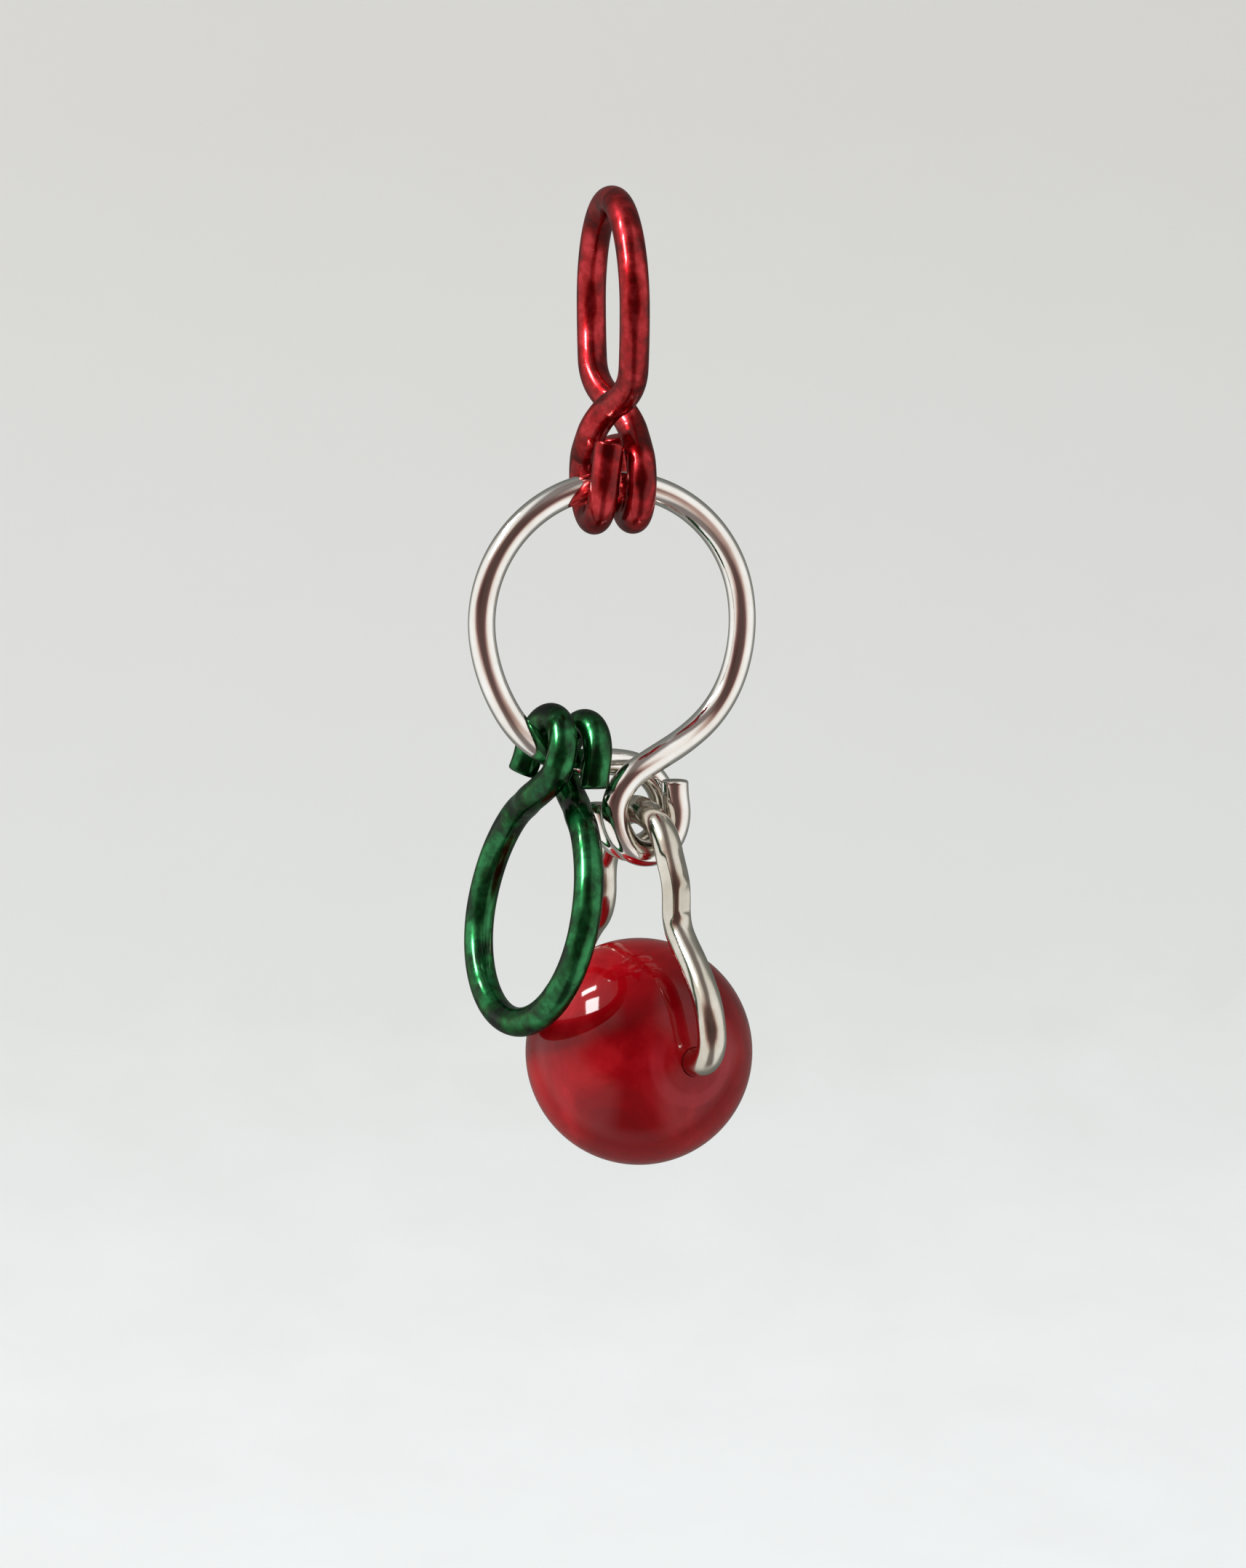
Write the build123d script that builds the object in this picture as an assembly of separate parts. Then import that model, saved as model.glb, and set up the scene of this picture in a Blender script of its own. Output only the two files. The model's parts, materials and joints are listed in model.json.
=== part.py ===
# Stitch marker: a top loop carries a larger centre loop, and from that hang
# a side loop and a bead in a pinched wire bail.
# Origin at the centre of the top loop's ring, which stands in the YZ plane, Z up.
# The marker's front looks along -Y. All lengths are in millimetres.
from build123d import *
from dataclasses import dataclass
from math import cos, radians, sin, sqrt
import os

# Wire and bead stock
coated_wire = 1.03
plated_wire = 0.95
bail_wire = 1.00
bead_diameter = 8.0
bead_bore = 1.14
bore_break = 0.06

# Clear spaces
turn_gap = 0.44
top_seat_clearance = 0.24
side_seat_clearance = 0.36
bail_seat_clearance = 0.475

# Top loop: ring, neck and double-turn coil
top_ring_radius = 3.58
top_neck = 0.95
top_coil_side_play = 0.43
top_coil_long_play = 0.47
top_leave_angle = 21
top_leave_offset = 0.17
top_narrow_share = 0.92
top_crossing_share = 0.10
top_crossing_extra_offset = 0.055
top_crossing_angle = 38
top_end_angle = 18

# Centre loop
center_ring_radius = 4.75
center_neck = 0.53
center_coil_side_play = 0.205
center_coil_long_play = 0.505
center_leave_angle = 28
center_leave_offset = 0.20
center_near_drop = 0.12
center_far_drop = 0.33
center_narrow_share = 1.10
center_crossing_share = 0.12
center_crossing_extra_offset = 0.11
center_crossing_angle = 20
center_coil_turn_angle = 4
center_end_angle = 14
center_turn_angle = 5.3
center_lean_angle = 8.2

# Side loop
side_ring_radius = 3.80
side_neck = 0.50
side_coil_side_play = 0.24
side_coil_long_play = 0.30
side_leave_angle = 22
side_leave_offset = 0.36
side_near_drop = 0.05
side_far_drop = 0.05
side_narrow_share = 1.07
side_crossing_share = 0.3
side_crossing_extra_offset = 0.09
side_crossing_angle = 27
side_end_angle = 17
side_lean_angle = 12.5
side_turn_angle = 16.3

# Bail: an arch through the centre loop's coil, two legs, and two prongs in the bead
bail_turn_angle = 16.8
bail_rise = 4.60
arch_side_play = 0.385
arch_drop = 1.10
arch_end_angle = 63
shoulder_half_width = 2.65
shoulder_height = 2.00
shoulder_end_angle = 87
kink_half_width = 2.70
kink_height = 1.10
kink_end_angle = 77
leg_clearance = 0.845
leg_angle = 45
prong_bend_radius = 1.00
prong_gap = 2.40
bore_tip_angle = 4

# Share of a turn's pitch by which it leans over its own length
turn_lean_share = 0.03
# How far a leg already heads for the crossing where it leaves the ring
leave_drift_share = 0.75
# Directions closer than this are taken as one
same_direction = 1e-9
gap_sample_step = 0.12


def arc_pair(start, start_direction, end, end_direction):
    """Two smooth arcs that leave start and reach end along the given directions."""
    span = end - start
    if max(start_direction.cross(span).length, end_direction.cross(span).length) < same_direction:
        return [Edge.make_line(start, end)]
    both = start_direction + end_direction
    turn = 2 * (1 - start_direction.dot(end_direction))
    along = span.dot(both)
    if turn < same_direction:
        reach = span.dot(span) / (2 * along)
    else:
        reach = (sqrt(along**2 + turn * span.dot(span)) - along) / turn
    first_corner = start + start_direction * reach
    second_corner = end - end_direction * reach
    meeting = (first_corner + second_corner) * 0.5
    meeting_direction = (second_corner - first_corner).normalized()
    return [
        Edge.make_tangent_arc(start, start_direction, meeting),
        Edge.make_tangent_arc(meeting, meeting_direction, end),
    ]


def smooth_path(stations):
    """One path of arcs through stations, each a point and a direction."""
    edges = []
    for (start, leaving), (end, arriving) in zip(stations, stations[1:]):
        edges += arc_pair(start, leaving.normalized(), end, arriving.normalized())
    return Wire(edges)


def turned(stations, axis, angle):
    """The stations turned about an axis."""
    return [
        (point.rotate(axis, angle), direction.rotate(axis, angle))
        for point, direction in stations
    ]


def joined_halves(stations, far_stations):
    """The far half, turned half a turn about Z and walked back, then the near half."""
    far = [(point, direction * -1) for point, direction in turned(far_stations[1:], Axis.Z, 180)]
    return far[::-1] + stations


@dataclass
class Loop:
    """A round ring whose two legs cross and each take one turn beside the other.

    The coil's centre is the origin, and the ring stands above it in YZ. The coil's axis
    is X, turned about Z by coil_turn. Angles are from the ring's lowest point, from level
    at the crossing, and from level at the wire's end. The near leg starts at +Y. The far
    one is the same half a turn about Z away, but may leave the ring lower.
    """
    wire: float
    ring_radius: float
    neck: float
    coil_half_width: float
    coil_half_height: float
    leave_angle: float
    leave_offset: float
    narrow_share: float
    crossing_share: float
    crossing_extra_offset: float
    crossing_angle: float
    end_angle: float
    near_drop: float = 0
    far_drop: float = 0
    coil_turn: float = 0

    @property
    def height(self):
        """Distance from the coil's centre to the ring's."""
        return self.ring_radius + self.neck + self.coil_half_height

    @property
    def turn_offset(self):
        """Distance of each turn from the middle of the coil."""
        return (self.wire + turn_gap) / 2

    @property
    def crossing_offset(self):
        """Distance of each leg from the middle of the coil where they cross."""
        return self.turn_offset + self.crossing_extra_offset

    def leave_station(self, drop):
        """Where a leg leaves the ring for the crossing, by drop below the ring's circle."""
        along = cos(radians(self.leave_angle))
        inward = sin(radians(self.leave_angle))
        side = self.ring_radius * inward * self.narrow_share
        low = self.height - self.ring_radius * along - drop
        drift = leave_drift_share * (self.crossing_offset - self.leave_offset) / side
        return Vector(self.leave_offset, side, low), Vector(drift, -along, -inward)

    def ring_stations(self, drop):
        """From the ring's top, down the side at +Y."""
        return [
            (Vector(0, 0, self.height + self.ring_radius), Vector(0, 1, 0)),
            (Vector(0, self.ring_radius, self.height), Vector(0, 0, -1)),
            self.leave_station(drop),
        ]

    def crossing_station(self):
        """Where the leg passes over to the side at -Y."""
        level = cos(radians(self.crossing_angle))
        fall = sin(radians(self.crossing_angle))
        return (
            Vector(self.crossing_offset, 0, self.coil_half_height + self.neck * self.crossing_share),
            Vector(self.crossing_extra_offset / self.coil_half_width, -level, -fall),
        )

    def coil_stations(self):
        """Down at -Y, under, up at +Y, and on to the wire's end."""
        lean = turn_lean_share * (self.wire + turn_gap)
        end_y = self.coil_half_width * cos(radians(self.end_angle))
        end_z = self.coil_half_height * sin(radians(self.end_angle))
        end_direction = Vector(
            0, -self.coil_half_width * sin(radians(self.end_angle)),
            self.coil_half_height * cos(radians(self.end_angle)),
        )
        return [
            (Vector(self.turn_offset + lean, -self.coil_half_width, 0), Vector(0, 0, -1)),
            (Vector(self.turn_offset, 0, -self.coil_half_height), Vector(-turn_lean_share, 1, 0)),
            (Vector(self.turn_offset - lean, self.coil_half_width, 0), Vector(-turn_lean_share, 0, 1)),
            (Vector(self.turn_offset - lean, end_y, end_z), end_direction),
        ]

    def half_stations(self, drop):
        """From the ring's top down one leg, through the crossing and round the coil."""
        crossing = turned([self.crossing_station()], Axis.Z, self.coil_turn / 2)
        coil = turned(self.coil_stations(), Axis.Z, self.coil_turn)
        return self.ring_stations(drop) + crossing + coil

    def path(self):
        """The whole wire's middle line."""
        near = self.half_stations(self.near_drop)
        return smooth_path(joined_halves(near, self.half_stations(self.far_drop)))


def loop_plane(coil_center, ring_side, toward_ring):
    """The plane of a loop: its Y is ring_side and its Z points from the coil to the ring."""
    up = toward_ring.normalized()
    across = ring_side - up * ring_side.dot(up)
    return Plane(origin=coil_center, x_dir=across.cross(up), z_dir=up)


def level_direction(angle):
    """Level direction, turned by angle from +X towards +Y."""
    return Vector(cos(radians(angle)), sin(radians(angle)), 0)


def front_direction(angle):
    """Level direction, turned by angle from the front, -Y, towards +X."""
    return Vector(sin(radians(angle)), -cos(radians(angle)), 0)


def tipped(direction, toward, angle):
    """A direction tipped by angle towards another one, square to it."""
    return direction * cos(radians(angle)) + toward * sin(radians(angle))


straight_up = Vector(0, 0, 1)
straight_down = Vector(0, 0, -1)

# Top loop: its ring is centred on the origin and stands in the YZ plane
top_loop = Loop(
    wire=coated_wire,
    ring_radius=top_ring_radius,
    neck=top_neck,
    coil_half_width=(coated_wire + plated_wire) / 2 + top_coil_side_play,
    coil_half_height=(coated_wire + plated_wire) / 2 + top_coil_long_play,
    leave_angle=top_leave_angle,
    leave_offset=top_leave_offset,
    narrow_share=top_narrow_share,
    crossing_share=top_crossing_share,
    crossing_extra_offset=top_crossing_extra_offset,
    crossing_angle=top_crossing_angle,
    end_angle=top_end_angle,
)
top_coil_center = straight_down * top_loop.height
top_plane = loop_plane(top_coil_center, Vector(0, -1, 0), straight_up)

# Centre loop: the top of its ring hangs in the bottom of the top loop's coil
center_loop = Loop(
    wire=plated_wire,
    ring_radius=center_ring_radius,
    neck=center_neck,
    coil_half_width=(plated_wire + bail_wire) / 2 + center_coil_side_play,
    coil_half_height=(plated_wire + bail_wire) / 2 + center_coil_long_play,
    leave_angle=center_leave_angle,
    leave_offset=center_leave_offset,
    near_drop=center_near_drop,
    far_drop=center_far_drop,
    narrow_share=center_narrow_share,
    crossing_share=center_crossing_share,
    crossing_extra_offset=center_crossing_extra_offset,
    crossing_angle=center_crossing_angle,
    coil_turn=center_coil_turn_angle,
    end_angle=center_end_angle,
)
center_across = level_direction(center_turn_angle)
center_top = top_coil_center + straight_down * (top_coil_long_play - top_seat_clearance)
center_ring_center = center_top + straight_down * center_ring_radius
center_up = tipped(straight_up, center_across, -center_lean_angle)
center_coil_center = center_ring_center - center_up * center_loop.height
center_plane = loop_plane(center_coil_center, center_across, center_up)
center_coil_axis = center_plane.x_dir.rotate(Axis(center_coil_center, center_up), center_coil_turn_angle)

# Side loop: its coil rides on the centre loop where the far leg leaves the ring
(far_leave, far_direction), = turned([center_loop.leave_station(center_far_drop)], Axis.Z, 180)
side_seat = center_plane.from_local_coords(far_leave)
side_swing_axis = (side_seat - center_plane.from_local_coords(far_leave - far_direction)).normalized()
side_level = Vector(side_swing_axis.X, side_swing_axis.Y, 0).normalized()
side_down = tipped(straight_down, side_level, -side_lean_angle)
side_coil_center = side_seat + side_down * (side_coil_long_play - side_seat_clearance)
side_plane = loop_plane(side_coil_center, front_direction(side_turn_angle), side_down)
side_coil_axis = side_swing_axis - side_down * side_swing_axis.dot(side_down)
side_coil_turn = side_plane.x_dir.get_signed_angle(side_coil_axis, side_down)
side_loop = Loop(
    wire=coated_wire,
    ring_radius=side_ring_radius,
    neck=side_neck,
    coil_half_width=(coated_wire + plated_wire) / 2 + side_coil_side_play,
    coil_half_height=(coated_wire + plated_wire) / 2 + side_coil_long_play,
    leave_angle=side_leave_angle,
    leave_offset=side_leave_offset,
    near_drop=side_near_drop,
    far_drop=side_far_drop,
    narrow_share=side_narrow_share,
    crossing_share=side_crossing_share,
    crossing_extra_offset=side_crossing_extra_offset,
    crossing_angle=side_crossing_angle,
    coil_turn=side_coil_turn,
    end_angle=side_end_angle,
)

# Bail and bead: the arch hangs in the bottom of the centre loop's coil
bead_radius = bead_diameter / 2
arch_top = center_coil_center + straight_down * (center_coil_long_play - bail_seat_clearance)
arch_height = bead_radius + bail_rise
bead_center = arch_top + straight_down * arch_height
bail_front = front_direction(bail_turn_angle)
bore_axis = tipped(bail_front, straight_up, bore_tip_angle)
bail_plane = Plane(origin=bead_center, x_dir=bail_front.cross(straight_up), z_dir=straight_up)


def slope_direction(angle):
    """Direction in the bail's plane that falls by angle while it goes outwards."""
    return Vector(0, cos(radians(angle)), -sin(radians(angle)))


def bail_stations(tip):
    """From the arch's top at +Y down a waisted leg and along a prong that tips up by tip."""
    coil_half_length = center_loop.turn_offset + plated_wire / 2
    arch_half_width = coil_half_length + bail_wire / 2 + arch_side_play
    leg_radius = bead_radius + bail_wire / 2 + leg_clearance
    leg_point = Vector(0, cos(radians(leg_angle)), sin(radians(leg_angle))) * leg_radius
    bend_y = sqrt(leg_radius**2 - prong_bend_radius**2)
    waist = [
        (Vector(0, 0, arch_height), slope_direction(0)),
        (Vector(0, arch_half_width, arch_height - arch_drop), slope_direction(arch_end_angle)),
        (
            Vector(0, shoulder_half_width, bead_radius + shoulder_height),
            slope_direction(shoulder_end_angle),
        ),
        (Vector(0, kink_half_width, bead_radius + kink_height), slope_direction(kink_end_angle)),
    ]
    foot = [
        (leg_point, slope_direction(90 - leg_angle)),
        (Vector(0, bend_y, prong_bend_radius), slope_direction(90)),
        (Vector(0, bend_y - prong_bend_radius, 0), slope_direction(180)),
        (Vector(0, prong_gap / 2, 0), slope_direction(180)),
    ]
    return waist + turned(foot, Axis.X, tip)


def bail_path():
    """The bail's middle line about the bead's centre: its front leg is the shorter one."""
    return smooth_path(joined_halves(bail_stations(bore_tip_angle), bail_stations(-bore_tip_angle)))


def bead_solid():
    """Round bead, bored through along Y tipped up, with the edge of each bore mouth broken."""
    bore_radius = bead_bore / 2
    mouth_radius = bore_radius + bore_break
    mouth_depth = sqrt(bead_radius**2 - mouth_radius**2)
    bore_depth = mouth_depth - bore_break
    outline = Polyline(
        (mouth_radius, mouth_depth), (bore_radius, bore_depth),
        (bore_radius, -bore_depth), (mouth_radius, -mouth_depth),
    ) + ThreePointArc((mouth_radius, -mouth_depth), (bead_radius, 0), (mouth_radius, mouth_depth))
    return revolve(make_face(outline), Axis.Y).rotate(Axis.X, bore_tip_angle)


def wire_solid(path, diameter):
    """Round wire of the given diameter along a path."""
    section = Plane(origin=path @ 0, z_dir=path % 0) * Circle(diameter / 2)
    return sweep(section, path=path)


def least_self_gap(path, diameter):
    """Least clear space between stretches of one wire, measured on points of its path."""
    count = int(path.length / gap_sample_step)
    step = path.length / count
    points = [path.position_at(index / count) for index in range(count + 1)]
    apart = int(3 * diameter / step) + 1
    least = path.length
    for index, point in enumerate(points):
        for other in points[index + apart:]:
            least = min(least, (point - other).length)
    return least - diameter


wires = {
    "top_loop": (top_plane.location * top_loop.path(), coated_wire),
    "center_loop": (center_plane.location * center_loop.path(), plated_wire),
    "side_loop": (side_plane.location * side_loop.path(), coated_wire),
    "bead_bail": (bail_plane.location * bail_path(), bail_wire),
}

os.makedirs("parts", exist_ok=True)
for name, (path, diameter) in wires.items():
    solid = wire_solid(path, diameter)
    solid.label = name
    export_step(solid, f"parts/{name}.step")
    tightest = min(edge.radius for edge in path.edges().filter_by(GeomType.CIRCLE))
    section_area = Circle(diameter / 2).area
    print(name, "length", round(path.length, 2), "tightest bend", round(tightest, 2))
    print("  least gap to itself", round(least_self_gap(path, diameter), 3),
          "volume over section times length", round(solid.volume / (section_area * path.length), 4))

bead = bail_plane.location * bead_solid()
bead.label = "bead"
export_step(bead, "parts/bead.step")

places = {
    "centre loop's hang": (center_top, center_across),
    "side loop's hang": (side_seat, side_swing_axis),
    "bail's hang": (arch_top, center_coil_axis),
    "bead's bore": (bead_center, bore_axis),
}
for name, (point, axis) in places.items():
    print(name, "at", [round(value, 3) for value in point], "along", [round(value, 4) for value in axis])
print("ring centres", [[round(value, 3) for value in center] for center in (
    center_ring_center, side_coil_center + side_down * side_loop.height)])
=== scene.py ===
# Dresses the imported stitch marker: smooth bent wires, a polished bead, studio light and the camera.
import json
import math

import bmesh
import bpy
from mathutils import Matrix, Vector


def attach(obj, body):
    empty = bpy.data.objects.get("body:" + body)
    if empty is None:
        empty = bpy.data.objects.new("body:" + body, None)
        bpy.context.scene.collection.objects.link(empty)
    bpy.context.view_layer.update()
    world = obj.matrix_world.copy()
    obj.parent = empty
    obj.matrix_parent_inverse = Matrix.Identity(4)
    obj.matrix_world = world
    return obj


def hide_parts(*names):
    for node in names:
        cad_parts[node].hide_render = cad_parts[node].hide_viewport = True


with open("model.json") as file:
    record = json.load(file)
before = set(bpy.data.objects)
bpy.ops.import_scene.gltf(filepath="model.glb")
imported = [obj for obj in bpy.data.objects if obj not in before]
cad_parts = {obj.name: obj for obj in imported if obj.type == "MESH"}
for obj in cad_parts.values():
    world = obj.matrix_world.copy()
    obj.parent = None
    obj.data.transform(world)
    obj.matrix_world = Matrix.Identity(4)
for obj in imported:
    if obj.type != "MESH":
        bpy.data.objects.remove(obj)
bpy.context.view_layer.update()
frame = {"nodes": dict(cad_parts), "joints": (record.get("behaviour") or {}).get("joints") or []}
print("frame loaded, nodes:", ", ".join(sorted(frame["nodes"])))

mm = 0.001
up = Vector((0, 0, 1))
# below these, two directions count as one
straightRun = 1e-6
sameHeading = 1e-9

# Sizes are millimetres and angles degrees. They are the CAD model's, but here the coils' turns lie closer,
# their ends stand up beside the legs, the bead's bore is close on its wire, and the bail has its pressed flats.
# The carried wire is the one inside the coil. A coil's ends stop at shares of its half width and half height
topLoop = {
    "wire": 1.03, "carried": 0.95, "coilPlayAcross": 0.43, "coilPlayAlong": 0.47,
    "ringRadius": 3.58, "neck": 0.95,
    "leaveAngle": 21, "leaveOffset": 0.17, "nearDrop": 0, "farDrop": 0, "narrowShare": 0.92,
    "crossingShare": 0.10, "crossingExtraOffset": 0.055, "crossingAngle": 38,
    "coilTurn": 0, "nearEnd": (0.97, 0.91), "farEnd": (0.97, 0.91), "endLean": 0.26,
}
centerLoop = {
    "wire": 0.95, "carried": 1.00, "coilPlayAcross": 0.205, "coilPlayAlong": 0.505,
    "ringRadius": 4.75, "neck": 0.53,
    "leaveAngle": 28, "leaveOffset": 0.20, "nearDrop": 0.12, "farDrop": 0.33, "narrowShare": 1.10,
    "crossingShare": 0.12, "crossingExtraOffset": 0.11, "crossingAngle": 20,
    "coilTurn": 4, "nearEnd": (1.06, 0.59), "farEnd": (0.97, 0.25), "endLean": 0, "lean": 8.2,
}
sideLoop = {
    "wire": 1.03, "carried": 0.95, "coilPlayAcross": 0.24, "coilPlayAlong": 0.30,
    "ringRadius": 3.80, "neck": 0.50,
    "leaveAngle": 22, "leaveOffset": 0.36, "nearDrop": 0.05, "farDrop": 0.05, "narrowShare": 1.07,
    "crossingShare": 0.3, "crossingExtraOffset": 0.09, "crossingAngle": 27,
    "nearEnd": (1.06, 0.66), "farEnd": (1.06, 0.66), "endLean": -0.12,
    "lean": 12.5, "turn": 16.3, "longPlay": 0.30, "seatClearance": 0.36,
}
coilForm = {"turnGap": 0.34, "turnLeanShare": 0.03, "leaveDriftShare": 0.75, "firstLeanShare": 1 / 3}
beadBail = {
    "wire": 1.00, "rise": 4.60, "coilHalfLength": 1.17, "archSidePlay": 0.385, "archDrop": 1.10,
    "archEndAngle": 63, "shoulderHalfWidth": 2.65, "shoulderHeight": 2.00, "shoulderEndAngle": 87,
    "kinkHalfWidth": 2.70, "kinkHeight": 1.10, "kinkEndAngle": 77, "legClearance": 0.845,
    "legAngle": 45, "prongBendRadius": 1.00, "prongGap": 2.40, "boreTip": 4,
    # the stretches that the jaws flattened: from and to, measured from the arch's top,
    # how much of the radius they left, and which way the flat faces
    "pressed": [
        (2.9, 4.1, 0.82, (-0.55, 0.83, 0)),
        (4.2, 5.2, 0.80, (-0.35, 0.93, 0.1)),
        (3.1, 5.4, 0.86, (0.85, 0.3, 0)),
    ],
}
wireFinish = {
    "sides": 48, "stepAngle": 4.5, "stepLength": 0.16, "endBreak": 0.09, "endSegments": 3, "pressFade": 0.1,
}
bead = {
    "diameter": 8.0, "bore": 1.012, "boreBreak": 0.02, "boreSteps": 128, "outlineSteps": 96, "merge": 1e-5,
    "swirl": 3.0, "wave": 2.4, "waveDepth": 0.05, "scatter": 0.5,
    # the painted reflection: a paler ring painted round a mouth of the bore, and the heights above it over
    # which it fades out
    "ringFrom": 0.95, "ringTo": 1.95, "fadeFrom": 0.1, "fadeTo": 1.1,
}


def jointPlace(name):
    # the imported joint's point in millimetres and its axis
    joint = next(j for j in frame["joints"] if j["name"] == name)
    return Vector(joint["pos_m"]) / mm, Vector(joint["axis"]).normalized()


def direction(angle):
    return Vector((math.cos(math.radians(angle)), math.sin(math.radians(angle)), 0))


def tipped(heading, toward, angle):
    return heading * math.cos(math.radians(angle)) + toward * math.sin(math.radians(angle))


def turned(stations, axis, angle):
    turn = Matrix.Rotation(math.radians(angle), 3, axis)
    return [(turn @ point, turn @ heading) for point, heading in stations]


def joinedHalves(near, far):
    # the far half is turned half a turn and walked back, so the wire is one run
    back = [(point, -heading) for point, heading in turned(far[1:], "Z", 180)]
    return back[::-1] + near


def coilHalfSizes(loop):
    # from the coil's centre to the middle of its own wire, across the loop and along it
    reach = (loop["wire"] + loop["carried"]) / 2
    return reach + loop["coilPlayAcross"], reach + loop["coilPlayAlong"]


def loopHeight(loop):
    return loop["ringRadius"] + loop["neck"] + coilHalfSizes(loop)[1]


def turnOffset(loop):
    return (loop["wire"] + coilForm["turnGap"]) / 2


def leaveStation(loop, drop):
    # where a leg leaves the ring and heads for the crossing
    along, inward = direction(loop["leaveAngle"])[:2]
    side = loop["ringRadius"] * inward * loop["narrowShare"]
    low = loopHeight(loop) - loop["ringRadius"] * along - drop
    sideways = turnOffset(loop) + loop["crossingExtraOffset"] - loop["leaveOffset"]
    drift = coilForm["leaveDriftShare"] * sideways / side
    return Vector((loop["leaveOffset"], side, low)), Vector((drift, -along, -inward))


def loopHalf(loop, drop, end):
    # ring, crossing and one turn of the coil, about the coil's centre
    height, radius = loopHeight(loop), loop["ringRadius"]
    width, rise = coilHalfSizes(loop)
    offset = turnOffset(loop)
    slant = coilForm["turnLeanShare"]
    lean = slant * (loop["wire"] + coilForm["turnGap"])
    level, fall = direction(loop["crossingAngle"])[:2]
    inward, reach = width * (1 - end[0]), rise * end[1]
    endLean = loop["endLean"]
    firstLean = endLean * coilForm["firstLeanShare"]
    aside = offset + loop["crossingExtraOffset"]
    ring = [
        (Vector((0, 0, height + radius)), Vector((0, 1, 0))),
        (Vector((0, radius, height)), Vector((0, 0, -1))),
        leaveStation(loop, drop),
    ]
    crossing = [(
        Vector((aside, 0, rise + loop["neck"] * loop["crossingShare"])),
        Vector((loop["crossingExtraOffset"] / width, -level, -fall)),
    )]
    coil = [
        (Vector((offset + lean, -width, 0)), Vector((0, 0, -1))),
        (Vector((offset, 0, -rise)), Vector((-slant, 1, 0))),
        (Vector((offset - lean - firstLean, width, 0)), Vector((-slant - firstLean, 0, 1))),
        (Vector((offset - lean - endLean, width - inward, reach)),
         Vector((-endLean * reach, -2 * inward * reach, reach**2 - inward**2))),
    ]
    return ring + turned(crossing, "Z", loop["coilTurn"] / 2) + turned(coil, "Z", loop["coilTurn"])


def loopStations(loop):
    return joinedHalves(
        loopHalf(loop, loop["nearDrop"], loop["nearEnd"]), loopHalf(loop, loop["farDrop"], loop["farEnd"]))


def bailStations(bail, beadRadius):
    def slope(angle):
        along, fall = direction(angle)[:2]
        return Vector((0, along, -fall))

    archHeight = beadRadius + bail["rise"]
    archHalfWidth = bail["coilHalfLength"] + bail["wire"] / 2 + bail["archSidePlay"]
    legRadius = beadRadius + bail["wire"] / 2 + bail["legClearance"]
    legAlong, legUp = direction(bail["legAngle"])[:2]
    bend = bail["prongBendRadius"]
    bendSide = math.sqrt(legRadius**2 - bend**2)
    shoulderHeight, kinkHeight = beadRadius + bail["shoulderHeight"], beadRadius + bail["kinkHeight"]
    waist = [
        (Vector((0, 0, archHeight)), slope(0)),
        (Vector((0, archHalfWidth, archHeight - bail["archDrop"])), slope(bail["archEndAngle"])),
        (Vector((0, bail["shoulderHalfWidth"], shoulderHeight)), slope(bail["shoulderEndAngle"])),
        (Vector((0, bail["kinkHalfWidth"], kinkHeight)), slope(bail["kinkEndAngle"])),
    ]
    foot = [
        (Vector((0, legAlong, legUp)) * legRadius, slope(90 - bail["legAngle"])),
        (Vector((0, bendSide, bend)), slope(90)),
        (Vector((0, bendSide - bend, 0)), slope(180)),
        (Vector((0, bail["prongGap"] / 2, 0)), slope(180)),
    ]
    near, far = (waist + turned(foot, "X", tip) for tip in (bail["boreTip"], -bail["boreTip"]))
    return joinedHalves(near, far)


def placed(origin, xAxis, zAxis):
    # a frame of axes as a matrix, in millimetres
    z = zAxis.normalized()
    x = (xAxis - z * xAxis.dot(z)).normalized()
    y = z.cross(x)
    return Matrix((
        (x.x, y.x, z.x, origin.x), (x.y, y.y, z.y, origin.y),
        (x.z, y.z, z.z, origin.z), (0, 0, 0, 1),
    ))


def loopPlace(coilCenter, ringSide, towardRing):
    z = towardRing.normalized()
    across = ringSide - z * ringSide.dot(z)
    return placed(coilCenter, across.cross(z), z)


def arcPair(start, heading, end, arriving):
    # two arcs that leave start and reach end along the given directions, or a straight run
    span = end - start
    if max(heading.cross(span).length, arriving.cross(span).length) < straightRun:
        return [(start, heading, end)]
    both, turn = heading + arriving, 2 * (1 - heading.dot(arriving))
    along = span.dot(both)
    if turn < sameHeading:
        reach = span.dot(span) / (2 * along)
    else:
        reach = (math.sqrt(along**2 + turn * span.dot(span)) - along) / turn
    first, second = start + heading * reach, end - arriving * reach
    meeting = (first + second) / 2
    return [(start, heading, meeting), (meeting, (second - first).normalized(), end)]


def bendTo(bm, ring, start, heading, end):
    # carries the wire's section along one arc, or along a straight run
    span = end - start
    normal = heading.cross(span)
    if normal.length < straightRun:
        steps = max(1, round(span.length / wireFinish["stepLength"]))
        for _ in range(steps):
            grown = bmesh.ops.extrude_edge_only(bm, edges=ring)["geom"]
            section = [g for g in grown if isinstance(g, bmesh.types.BMVert)]
            bmesh.ops.translate(bm, verts=section, vec=span / steps)
            ring = [g for g in grown if isinstance(g, bmesh.types.BMEdge) and g.is_boundary]
        return ring
    normal.normalize()
    inward = normal.cross(heading)
    radius = span.dot(span) / (2 * span.dot(inward))
    angle = 2 * math.atan2(span.dot(inward), span.dot(heading))
    steps = max(2, math.ceil(math.degrees(angle) / wireFinish["stepAngle"]),
                math.ceil(angle * radius / wireFinish["stepLength"]))
    grown = bmesh.ops.spin(
        bm, geom=ring, cent=start + inward * radius, axis=normal, angle=angle, steps=steps)["geom_last"]
    return [g for g in grown if isinstance(g, bmesh.types.BMEdge)]


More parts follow.
